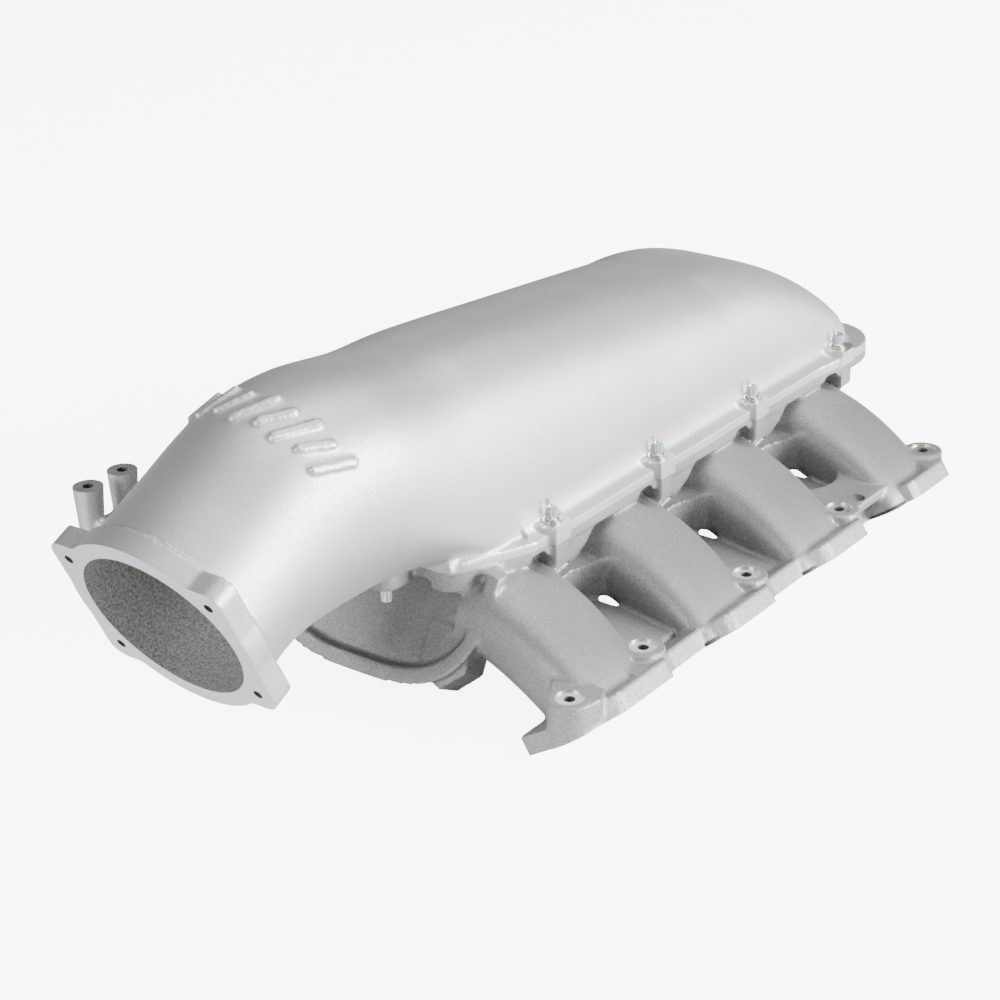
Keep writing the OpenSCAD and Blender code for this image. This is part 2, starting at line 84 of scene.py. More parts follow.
def addTube(shell, outer, inner):        # a closed band between two pairs of matching rings
    n = len(outer[0])
    faces = []
    for i in range(n):
        j = (i + 1) % n
        faces += [[i, j, n + j, n + i], [2 * n + i, 3 * n + i, 3 * n + j, 2 * n + j]]
        faces += [[i, 2 * n + i, 2 * n + j, j], [n + i, n + j, 3 * n + j, 3 * n + i]]
    addFaces(shell, outer[0] + outer[1] + inner[0] + inner[1], faces)


def circle(x, y, r, count=48):
    return [(x + r * math.cos(2 * math.pi * i / count), y + r * math.sin(2 * math.pi * i / count))
            for i in range(count)]


def arc(x, y, r, start, end, steps):
    angles = [math.radians(start + (end - start) * i / steps) for i in range(steps + 1)]
    return [(x + r * math.cos(a), y + r * math.sin(a)) for a in angles]


def upright(u, v, w):
    return (u, v, w)


def addCylinder(shell, x, y, low, high, r, put=upright, rTop=None):
    top = r if rTop is None else rTop
    rings = []
    for w, radius in ((low, r), (high, top)):
        rings.append([put(u, v, w) for u, v in circle(x, y, radius)])
    addLoft(shell, rings)


def toPiece(name, shell, material=None):
    mesh = bpy.data.meshes.new(name)
    mesh.from_pydata([inFrame(p) for p in shell["points"]], [], shell["faces"])
    bm = bmesh.new()
    bm.from_mesh(mesh)
    bmesh.ops.recalc_face_normals(bm, faces=bm.faces)
    bm.to_mesh(mesh)
    bm.free()
    piece = bpy.data.objects.new(name, mesh)
    bpy.context.scene.collection.objects.link(piece)
    if material:
        mesh.materials.append(material)
    return piece


def bake(piece):        # the modifiers become plain mesh
    bpy.context.view_layer.update()
    evaluated = piece.evaluated_get(bpy.context.evaluated_depsgraph_get())
    mesh = bpy.data.meshes.new_from_object(evaluated)
    old = piece.data
    piece.modifiers.clear()
    piece.data = mesh
    bpy.data.meshes.remove(old)
    return piece


def castSkin(piece, voxel, rounds, triangles):
    remesh = piece.modifiers.new("fuse", "REMESH")
    remesh.mode = "VOXEL"
    remesh.voxel_size = voxel * mm * 1
    smooth = piece.modifiers.new("fillets", "SMOOTH")
    smooth.factor = 0.5
    smooth.iterations = max(rounds // (1), 1)
    bake(piece)
    have = sum(len(p.vertices) - 2 for p in piece.data.polygons)
    if have > triangles:
        thin = piece.modifiers.new("thin", "DECIMATE")
        thin.ratio = triangles / have
        bake(piece)
    print("  skin of", piece.name, have, "triangles, now", len(piece.data.polygons))
    return piece


def machine(piece, cutters):        # each cutter leaves its own finish on the faces that it cuts
    for cutter in cutters:
        cut = piece.modifiers.new("cut", "BOOLEAN")
        cut.operation = "DIFFERENCE"
        cut.solver = "MANIFOLD"
        cut.material_mode = "TRANSFER"
        cut.object = cutter
        bake(piece)
        bpy.data.objects.remove(cutter)
    return piece


def shade(piece, angle=34):
    piece.data.shade_smooth()
    piece.data.set_sharp_from_angle(angle=math.radians(angle))


# ---------- node helpers ----------

def newMaterial(name):
    material = bpy.data.materials.new(name)
    material.use_nodes = True
    tree = material.node_tree
    shader = next(n for n in tree.nodes if n.type == "BSDF_PRINCIPLED")
    coords = tree.nodes.new("ShaderNodeTexCoord")
    return material, tree, shader, coords.outputs["Object"]


def noise(tree, coords, scale, detail=3, rough=0.55):
    node = tree.nodes.new("ShaderNodeTexNoise")
    node.inputs["Scale"].default_value = scale
    node.inputs["Detail"].default_value = detail
    node.inputs["Roughness"].default_value = rough
    tree.links.new(coords, node.inputs["Vector"])
    return node.outputs["Fac"]


def ramp(tree, value, stops):
    node = tree.nodes.new("ShaderNodeValToRGB")
    elements = node.color_ramp.elements
    while len(elements) < len(stops):
        elements.new(0.5)
    for element, (at, colour) in zip(elements, stops):
        element.position = at
        element.color = tuple(colour) + (1,) if isinstance(colour, tuple) else (colour, colour, colour, 1)
    tree.links.new(value, node.inputs["Fac"])
    return node.outputs["Color"]


def mixed(tree, factor, a, b, blend="MIX"):
    node = tree.nodes.new("ShaderNodeMix")
    node.data_type = "RGBA"
    node.blend_type = blend
    for socket, value in ((0, factor), (6, a), (7, b)):
        if isinstance(value, bpy.types.NodeSocket):
            tree.links.new(value, node.inputs[socket])
        else:
            node.inputs[socket].default_value = value
    return node.outputs[2]


def summed(tree, a, b, weight):        # a + b * weight
    node = tree.nodes.new("ShaderNodeMath")
    node.operation = "MULTIPLY_ADD"
    tree.links.new(b, node.inputs[0])
    node.inputs[1].default_value = weight
    tree.links.new(a, node.inputs[2])
    return node.outputs[0]


def bumped(tree, shader, height, strength, distance):
    node = tree.nodes.new("ShaderNodeBump")
    node.inputs["Strength"].default_value = strength
    node.inputs["Distance"].default_value = distance
    tree.links.new(height, node.inputs["Height"])
    tree.links.new(node.outputs["Normal"], shader.inputs["Normal"])


# ---------- finishes (the base colours and the hole colour carry painted shade) ---

coverFinish = {"light": (0.63, 0.63, 0.625), "dark": (0.52, 0.52, 0.515), "rough": (0.42, 0.58),
               "grain": 1250, "bump": 0.35, "depth": 0.0003, "metal": 0.8}
# The base casting is darker than the cover: partly its own greyer tone, partly painted shade for its downward-facing
# sides and the bays between the runners.
baseToneAndPaintedShade = {"light": (0.40, 0.395, 0.39), "dark": (0.25, 0.245, 0.24), "rough": (0.46, 0.64),
              "grain": 1100, "bump": 0.5, "depth": 0.0004, "metal": 0.8}
insideFinish = {"light": (0.46, 0.46, 0.455), "dark": (0.22, 0.22, 0.22), "rough": (0.5, 0.75),
                "grain": 700, "bump": 0.8, "depth": 0.0006, "metal": 0.75}


def castAluminium(name, finish):        # sand grain, faint cloudy staining and a few bright blasted specks
    material, tree, shader, coords = newMaterial(name)
    grain = noise(tree, coords, finish["grain"], 3, 0.65)
    coarse = noise(tree, coords, finish["grain"] * 0.32, 2, 0.5)
    clouds = noise(tree, coords, 22, 3, 0.5)
    tone = ramp(tree, grain, [(0.34, finish["dark"]), (0.62, finish["light"])])
    stain = ramp(tree, clouds, [(0.3, 0.90), (0.7, 1.0)])
    colour = mixed(tree, 1.0, tone, stain, "MULTIPLY")
    tree.links.new(colour, shader.inputs["Base Color"])
    low, high = finish["rough"]
    tree.links.new(ramp(tree, grain, [(0.3, high), (0.7, low)]), shader.inputs["Roughness"])
    bumped(tree, shader, summed(tree, grain, coarse, 0.8), finish["bump"], finish["depth"])
    shader.inputs["Metallic"].default_value = finish["metal"]
    shader.inputs["IOR"].default_value = 1.5
    return material


def machinedAluminium(name, colour, roughness):        # fine parallel cutter marks
    material, tree, shader, coords = newMaterial(name)
    wave = tree.nodes.new("ShaderNodeTexWave")
    wave.wave_type = "BANDS"
    wave.bands_direction = "X"
    wave.inputs["Scale"].default_value = 900
    wave.inputs["Distortion"].default_value = 1.5
    wave.inputs["Detail"].default_value = 2
    tree.links.new(coords, wave.inputs["Vector"])
    marks = wave.outputs["Fac"]
    dull = noise(tree, coords, 140, 4, 0.6)
    darker = tuple(c * 0.93 for c in colour)
    tree.links.new(ramp(tree, dull, [(0.35, darker), (0.65, colour)]), shader.inputs["Base Color"])
    tree.links.new(ramp(tree, dull, [(0.3, roughness * 0.8), (0.7, roughness * 1.2)]), shader.inputs["Roughness"])
    bumped(tree, shader, marks, 0.12, 0.00005)
    shader.inputs["Metallic"].default_value = 0.9
    return material


def zincPlate(name, colour):        # bright zinc with a faint blue and yellow cast
    material, tree, shader, coords = newMaterial(name)
    film = noise(tree, coords, 260, 4, 0.6)
    warm = tuple(c * f for c, f in zip(colour, (1.02, 0.98, 0.88)))
    tree.links.new(ramp(tree, film, [(0.36, colour), (0.66, warm)]), shader.inputs["Base Color"])
    tree.links.new(ramp(tree, film, [(0.3, 0.22), (0.7, 0.38)]), shader.inputs["Roughness"])
    bumped(tree, shader, noise(tree, coords, 2200, 2), 0.15, 0.00006)
    shader.inputs["Metallic"].default_value = 1.0
    return material


def sealRubber(name):
    material, tree, shader, coords = newMaterial(name)
    dust = noise(tree, coords, 320, 4, 0.6)
    tree.links.new(ramp(tree, dust, [(0.4, (0.018, 0.018, 0.019)), (0.7, (0.045, 0.044, 0.043))]),
                   shader.inputs["Base Color"])
    tree.links.new(ramp(tree, dust, [(0.3, 0.5), (0.7, 0.72)]), shader.inputs["Roughness"])
    bumped(tree, shader, noise(tree, coords, 1800, 2), 0.3, 0.0001)
    return material


coverSkin = castAluminium("blasted cover casting", coverFinish)
baseSkinToneAndPaintedShade = castAluminium("sand cast base with painted shade", baseToneAndPaintedShade)
insideSkin = castAluminium("rough cast passages", insideFinish)
milled = machinedAluminium("milled faces", (0.80, 0.80, 0.83), 0.34)
spotFaced = machinedAluminium("spot faces", (0.72, 0.71, 0.68), 0.32)
# Drilled holes get a dark colour far below the milled faces: painted shade inside the holes.
holesWithPaintedShade = machinedAluminium("drilled holes with painted shade", (0.30, 0.30, 0.31), 0.4)
zinc = zincPlate("zinc plate", (0.60, 0.68, 0.72))
washerZinc = zincPlate("washer zinc", (0.74, 0.75, 0.75))
rubber = sealRubber("seal rubber")

# ---------- shared layout ----------

layout = {"pitch": 111.76, "stagger": 24.2, "boltX": 78, "splitZ": -10,
          "endBolts": [(-25, -91), (25, -91), (-32, 379), (32, 379)], "boreR": 3}
pitch = layout["pitch"]
splitZ = layout["splitZ"]


def ring(row, count):
    y, z, tilt, halfWidth, up, down, power = row
    a = math.radians(tilt)
    points = []
    for i in range(count):
        q = 2 * math.pi * i / count
        c, s = math.cos(q), math.sin(q)
        u = halfWidth * math.copysign(abs(c) ** (2 / power), c)
        v = (down if s < 0 else up) * math.copysign(abs(s) ** (2 / power), s)
        points.append((u, y - v * math.sin(a), z + v * math.cos(a)))
    return points


def rowAt(rows, s):        # smooth curve through the rows
    last = len(rows) - 1
    i = min(int(s), last - 1)
    t = s - i
    four = [rows[max(i - 1, 0)], rows[i], rows[i + 1], rows[min(i + 2, last)]]
    return [0.5 * (2 * b + (c - a) * t + (2 * a - 5 * b + 4 * c - d) * t * t
                   + (3 * b - a - 3 * c + d) * t ** 3) for a, b, c, d in zip(*four)]


def eachSide(addOne):        # right bank, then left bank set back by the stagger
    for side in (1, -1):
        addOne(side, 0 if side > 0 else layout["stagger"])


# ---------- split flange ----------

flange = {"halfWidth": 82.5, "front": -76, "rear": 388, "frontCorner": 16, "rearCorner": 35}


def flangeOutline():
    w, front, rear = flange["halfWidth"], flange["front"], flange["rear"]
    r, rearR = flange["frontCorner"], flange["rearCorner"]
    half = [(0, front)]
    half += arc(50, front + r, r, -90, -20, 8)
    half += arc(w - 12, -20, 12, -20, 0, 4)
    half += [(w, 300), (w + 1.5, 310), (w + 3, 322)]
    half += arc(w + 3 - rearR, rear - rearR, rearR, 0, 90, 16)
    half += [(0, rear)]
    return half + [(-x, y) for x, y in reversed(half[1:-1])]


def atCoverBolts(addOne):
    for side in (1, -1):
        for i in range(4):
            addOne(side, i * pitch)


# ---------- plenum cover ----------

cover = {"halfWidth": 72.5, "roofFront": 106, "roofFall": 0.105, "dropFrom": 60, "drop": 3, "wall": 5,
         "innerWall": 6.5, "tailY": 215, "tailLength": 157, "tailBend": 1.8, "tailCorner": 21, "tailSteps": 24,
         "plate": 6, "earR": 9.8, "voxel": 1.35, "rounds": 2, "triangles": 185000, "points": 160, "rowSteps": 14,
         "innerPoints": 96}
throttle = {"y": -245.8, "z": 13.8, "tilt": 25.6, "bore": 52.5, "round": 63.3, "pad": (124, 96), "padR": 10,
            "thick": 14.5, "boltU": 51, "boltV": 36, "boreLength": 42}
posts = {"x": -80, "ys": (-216.5, -190), "top": 65, "foot": 22, "rTop": 8.8, "rFoot": 6}


def roofUp(y):        # even fall, then a little faster
    faster = cover["drop"] * max(y - cover["dropFrom"], 0) / (cover["tailY"] - cover["dropFrom"])
    return cover["roofFront"] - splitZ - cover["roofFall"] * (y + 10) - faster


def coverRows(shrink):        # y, z, tilt, half width, up, down, roundness
    tilt = throttle["tilt"]
    w = cover["halfWidth"]
    side = 0 if shrink == 0 else cover["innerWall"]
    rows = [[-205, 33.3, tilt, 60, 60, 60, 2], [-152, 47, 19, 62, 70, 68, 2.1],
            [-109.6, 42.7, 8, 66, 75, 56, 2.35], [-62, 15, 0, 70.5, 94, 28, 2.6]]
    if shrink == 0:
        rows.insert(0, [-243.1, 15.1, tilt, 60, 60, 60, 2])
    rows = [[r[0], r[1], r[2], r[3] - shrink, r[4] - shrink, r[5] - shrink, r[6]] for r in rows]
    if shrink:
        rows[0][3:6] = [throttle["bore"] - 0.2] * 3
        rows.append([-40, 0, 0, w - side, 101, 22, 2.75])
    rows += [[y, splitZ, 0, w - side, roofUp(y) - shrink, 20, power]
             for y, power in ((-10, 2.85), (100, 2.95), (cover["tailY"], 3.2))]
    return rows


def tailRow(y, wall):
    u = (y - cover["tailY"]) / (cover["tailLength"] - wall)
    r = cover["tailCorner"]
    start = cover["tailY"] + cover["tailLength"] - r
    w = cover["halfWidth"] - wall
    if y + wall > start:
        w += math.sqrt(max(r * r - (y + wall - start) ** 2, 0)) - r
    bend = cover["tailBend"]
    up = (roofUp(cover["tailY"]) - wall) * (1 - u ** bend) ** (1 / bend)
    return [y, splitZ, 0, w, up, 20, 3.2 + min(0.6 * u, 0.3)]


def coverRings(shrink, count):
    rows = coverRows(shrink)
    steps = cover["rowSteps"]
    rings = [ring(rowAt(rows, s / steps), count) for s in range((len(rows) - 1) * steps + 1)]
    wall, end = (cover["innerWall"], 360) if shrink else (0, 371)
    turn = [math.sin(math.pi / 2 * k / cover["tailSteps"]) for k in range(1, cover["tailSteps"] + 1)]
    return rings + [ring(tailRow(cover["tailY"] + t * (end - cover["tailY"]), wall), count) for t in turn]


def atThrottle(u, v, w):        # w runs into the flange from its face
    a = math.radians(throttle["tilt"])
    return (u, throttle["y"] - v * math.sin(a) + w * math.cos(a), throttle["z"] + v * math.cos(a) + w * math.sin(a))


def throttleOutline(count=240):
    halfW, halfH, r = throttle["pad"][0] / 2, throttle["pad"][1] / 2, throttle["padR"]
    points = []
    for i in range(count):
        a = 2 * math.pi * i / count
        c, s = abs(math.cos(a)), abs(math.sin(a))
        reach = min(halfW / max(c, 1e-6), halfH / max(s, 1e-6))
        if reach * c > halfW - r and reach * s > halfH - r:
            along = (halfW - r) * c + (halfH - r) * s
            away = (halfW - r) ** 2 + (halfH - r) ** 2 - r * r
            reach = along + math.sqrt(max(along * along - away, 0))
        reach = max(reach, throttle["round"])
        points.append((reach * math.cos(a), reach * math.sin(a)))
    return points


def padOutline(side, y):        # a square ear that runs back into the wall
    r = cover["earR"]
    half = [(-10, -17), (-6, -17), (4, -r), (r, -r), (r, 6), (5, r + 1), (-10, r + 1)]
    return [(side * (layout["boltX"] + u), y + v) for u, v in half]


def seatOutline(side, y):        # milled a little into the wall behind the washer
    half = arc(0, 0, cover["earR"] + 2, -90, 90, 20) + arc(0, 0, 7.4, 90, 270, 20)
    return [(side * (layout["boltX"] + u), y + v) for u, v in half]


def footStrip(side):        # hollow fillet between the wall and the flange
    profile = [(70, -7), (81, -7), (81, -4.2), (78, -3.2), (75.6, -1.2), (74, 2), (73, 6), (72.4, 11), (68, 11)]
    return [[(side * x, y, z) for x, z in profile] for y in (-22, 345)]


def raisedMarks(shell):        # plain cast-in bars across the crest of the nose
    rows = coverRows(0)
    marks = {"count": 8, "from": 124, "to": 36, "row": 2.12, "long": 0.22, "wide": 2.5, "proud": 2.2}
    for k in range(marks["count"]):
        q = marks["from"] + (marks["to"] - marks["from"]) * k / (marks["count"] - 1)

        def onSkin(s, degrees):
            y, z, tilt, w, up, _, power = rowAt(rows, s)
            c, h = math.cos(math.radians(degrees)), math.sin(math.radians(degrees))
            u = w * math.copysign(abs(c) ** (2 / power), c)
            v = up * abs(h) ** (2 / power)
            a = math.radians(tilt)
            return Vector((u, y - v * math.sin(a), z + v * math.cos(a)))
        reach = marks["long"] * (1 if k % 2 else 0.72)
        start, end = onSkin(marks["row"] - reach, q + 4), onSkin(marks["row"] + reach, q - 4)
        along = (end - start).normalized()
        across = (onSkin(marks["row"], q - 4) - onSkin(marks["row"], q + 4)).normalized()
        out = across.cross(along).normalized()
        across = along.cross(out).normalized()
        half = (end - start).length / 2
        middle = onSkin(marks["row"], q)

        def put(u, v, w):
            return tuple(middle + along * u + across * v + out * w)
        r = marks["wide"]
        outline = arc(half, 0, r, -90, 90, 10) + arc(-half, 0, r, 90, 270, 10)
        addPrism(shell, outline, -6, marks["proud"], put)


def frontWall(shell):        # wall across the front, from the split flange up into the nose
    outline = [(-62, splitZ), (62, splitZ), (59, 2), (56, 10), (50, 22), (47, 34)]
    outline += [(-x, z) for x, z in reversed(outline[2:])]
    addPrism(shell, outline, 0, 6.5, lambda u, v, w: (u, flange["front"] + 0.5 + w, v))


def buildCover():
    shell = newShell()
    addLoft(shell, coverRings(0, cover["points"]))
    addPrism(shell, flangeOutline(), splitZ - 2, splitZ + cover["plate"], upright)
    addPrism(shell, throttleOutline(), -1.5, throttle["thick"], atThrottle)
    atCoverBolts(lambda side, y: addPrism(shell, padOutline(side, y), splitZ - 2, 1, upright))
    for side in (1, -1):
        addLoft(shell, footStrip(side))
    for x, y in layout["endBolts"]:
        addCylinder(shell, x, y, splitZ - 2, 5, 9)
    for y in posts["ys"]:
        addCylinder(shell, posts["x"], y, posts["foot"], posts["top"] + 1.5, posts["rFoot"], rTop=posts["rTop"])
        addPrism(shell, [(posts["x"], y - 3.5), (-46, y - 3.5), (-46, y + 3.5), (posts["x"], y + 3.5)],
                 posts["foot"] + 2, 46, upright)
    first, second = posts["ys"]
    x0, x1 = posts["x"] - 3, posts["x"] + 3
    addPrism(shell, [(x0, first), (x1, first), (x1, second), (x0, second)], posts["foot"] + 3, 42, upright)
    frontWall(shell)
    raisedMarks(shell)
    piece = castSkin(toPiece("coverCasting", shell, coverSkin), cover["voxel"], cover["rounds"], cover["triangles"])

    faces = newShell()        # milled flat: throttle face, underside, tops of the pads and posts
    addPrism(faces, [(-90, -90), (90, -90), (90, 90), (-90, 90)], -30, 0, atThrottle)
    planes = newShell()
    addPrism(planes, [(-100, -100), (100, -100), (100, 400), (-100, 400)], -60, splitZ, upright)
    tops = newShell()
    atCoverBolts(lambda side, y: addPrism(tops, seatOutline(side, y), 0, 12, upright))
    for y in posts["ys"]:
        addCylinder(tops, posts["x"], y, posts["top"], posts["top"] + 8, 14)
    inner = newShell()
    addLoft(inner, coverRings(cover["wall"], cover["innerPoints"]))
    bore = newShell()
    addPrism(bore, circle(0, 0, throttle["bore"], 160), -4, throttle["boreLength"], atThrottle)
    holes = newShell()
    for u in (-throttle["boltU"], throttle["boltU"]):
        for v in (-throttle["boltV"], throttle["boltV"]):
            addPrism(holes, circle(u, v, layout["boreR"]), -2, throttle["thick"] + 0.6, atThrottle)
    for y in posts["ys"]:
        addCylinder(holes, posts["x"], y, posts["top"] - 16, posts["top"] + 2, layout["boreR"])
    atCoverBolts(lambda side, y: addCylinder(holes, side * layout["boltX"], y, splitZ - 3, 3, 3.3))
    for x, y in layout["endBolts"]:
        addCylinder(holes, x, y, splitZ - 3, 4, layout["boreR"])
    machine(piece, [toPiece("cutInner", inner, insideSkin), toPiece("cutBore", bore, insideSkin),
                    toPiece("cutFace", faces, milled), toPiece("cutPlane", planes, milled),
                    toPiece("cutTops", tops, spotFaced), toPiece("cutHoles", holes, holesWithPaintedShade)])
    shade(piece)
    return piece


# ---------- runner base ----------

heads = {"slope": 32, "edgeX": 170, "edgeZ": -67.5, "inX": 137, "thick": 11.7, "boltX": 159.4, "seat": -49.1,
         "bossR": 13, "spotR": 8.6, "holeR": 3.4, "frontPort": -61, "offset": 36.3, "portX": 160}
runner = {"portW": 50, "portH": 28, "wall": 5, "extraW": (5, 14), "entryY": (-35, -37), "entry": (58, -37),
          "pullIn": 42, "pullOut": 20, "points": 72, "steps": 26, "low": 6, "sag": 5}
base = {"plate": 7, "foot": -27, "voxel": 1.35, "rounds": 2, "triangles": 185000, "lean": -28, "topZ": -14,
        "column": [(-9, -8), (8.4, -8), (8.4, 5), (6, 8), (-9, 8)], "lipZ": -23, "pocketZ": -18, "pocketR": 5.5}
# the head bolt in front of each low web, then its span in x and in y behind that bolt
lowWebs = ((1, 70, 150, 22, 56), (2, 70, 152, -8, 56), (3, 70, 128, -8, 56))
slope = math.radians(heads["slope"])


def headZ(x):
    return heads["edgeZ"] + (x - heads["edgeX"]) * math.tan(slope)


def headBoltY(i):
    return heads["frontPort"] + heads["offset"] * (-1 if i == 0 else 1) + max(i - 1, 0) * pitch


def onHead(side, shift):        # v up the slope, y along the engine, w out of the mating face
    def put(v, y, w):
        x = heads["edgeX"] + v * math.cos(slope) - w * math.sin(slope)
        return (side * x, y + shift, heads["edgeZ"] + v * math.sin(slope) + w * math.cos(slope))
    return put


def headOutline():
    wide, waist = 14.5, -16
    inner = -(heads["edgeX"] - heads["inX"]) / math.cos(slope)
    front, rear = headBoltY(0) - heads["bossR"] + 1, headBoltY(4) + heads["bossR"]
    points = [(inner, front + 8), (inner + 3, front), (-8, front), (3, headBoltY(0) - 4),
              (6, headBoltY(0) + 8), (wide - 2, headBoltY(0) + 19), (wide, headBoltY(0) + 24)]
    for i, narrow in ((1, 2), (2, 2), (3, waist)):
        y = headBoltY(i)
        points += [(wide, y - 2), (3, y + 4), (3, y + 11), (narrow, y + 15)]
        ahead = headBoltY(i + 1)
        points += [(narrow, ahead - 63), (narrow + 3, ahead - 58), (wide - 3, ahead - 50), (wide, ahead - 44)]
    points += [(wide, headBoltY(4) - 4), (3, rear - 6), (-6, rear), (inner + 6, rear), (inner, rear - 6)]
    return points


def centreLine(t):
    portX = heads["portX"]
    out = (math.sin(slope), -math.cos(slope))
    exitPoint = (portX, headZ(portX))
    if t > 1:
        return [exitPoint[k] + (t - 1) * 100 * out[k] for k in (0, 1)], out
    first = runner["entry"]
    a = math.radians(5)
    pulls = [first, (first[0] + runner["pullIn"] * math.cos(a), first[1] - runner["pullIn"] * math.sin(a)),
             tuple(exitPoint[k] - runner["pullOut"] * out[k] for k in (0, 1)), exitPoint]
    weights = [(1 - t) ** 3, 3 * t * (1 - t) ** 2, 3 * t * t * (1 - t), t ** 3]
    here = [sum(w * p[k] for w, p in zip(weights, pulls)) for k in (0, 1)]
    steer = [(1 - t) ** 2, 2 * t * (1 - t), t * t]
    way = [sum(w * (pulls[j + 1][k] - pulls[j][k]) for j, w in enumerate(steer)) for k in (0, 1)]
    size = math.hypot(*way)
    return here, (way[0] / size, way[1] / size)


def ductRing(t, side, y, grow):
    c, d = centreLine(t)
    k = min(t, 1)
    k = k * k * (3 - 2 * k)
    outside = grow > 0
    w = (runner["portW"] + runner["extraW"][outside] * (1 - k)) / 2 + grow
    h = (runner["portH"] + 2 * (1 - k)) / 2 + grow
    start = runner["entryY"][outside]
    here = start + (heads["frontPort"] + (0 if side > 0 else layout["stagger"]) - start) * k + y
    topPower = 2.8 + 1.2 * k
    low = runner["low"] * (1 - k) if outside else 0
    sag = runner["sag"] * math.sin(math.pi * min(t, 1)) if outside else 0
    points = []
    for i in range(runner["points"]):
        q = 2 * math.pi * i / runner["points"]
        s, o = math.sin(q), math.cos(q)
        u = w * math.copysign(abs(s) ** (2 / (4 if o < 0 else topPower)), s)
        v = (-(h - low + sag) * (-o) ** 0.5 if o < 0 else (h + low) * o ** (2 / topPower)) - low
        points.append((side * (c[0] - v * d[1]), here + u, c[1] + v * d[0]))
    return points


def addDucts(shell, grow, start, end):
    for side in (1, -1):
        for i in range(4):
            n = runner["steps"]
            addLoft(shell, [ductRing(start + (end - start) * j / n, side, i * pitch, grow) for j in range(n + 1)])


def bellyRings(rows, count=120, steps=6):
    return [ring(rowAt(rows, s / steps), count) for s in range((len(rows) - 1) * steps + 1)]


def bellyRows():
    lean, z = base["lean"], base["topZ"]
    return [[-55, z, lean, 80, 4, 74, 3], [-45, z, lean, 75, 4, 70, 3], [-5, z, 0, 73, 4, 62, 3],
            [150, z, 0, 73, 4, 60, 3], [300, z, 0, 73, 4, 57, 3], [345, z, 0, 71, 4, 52, 3],
            [366, z, 0, 60, 4, 40, 3], [378, z, 0, 46, 4, 24, 3]]


def bellyInnerRows():
    lean, z = base["lean"], base["topZ"]
    return [[-44, z, lean, 60, 12, 63, 3], [-5, z, 0, 66, 12, 56, 3], [150, z, 0, 66, 12, 54, 3],
            [300, z, 0, 66, 12, 51, 3], [343, z, 0, 64, 12, 45, 3], [362, z, 0, 54, 12, 30, 3]]


def bellyRim(shell):        # raised rim around the leaning front wall
    lean, z = base["lean"], base["topZ"]
    outer = [ring([y, z, lean, 83, 4, 77, 3], 120) for y in (-60, -50)]
    inner = [ring([y, z, lean, 74, 1, 67, 3], 120) for y in (-60, -50)]
    addTube(shell, outer, inner)


def lipOutline():        # seen from the side: y behind a bolt column, height
    return [(0, -28), (7, -28), (13, -33), (30, -26), (38, -18), (46, splitZ), (0, splitZ)]


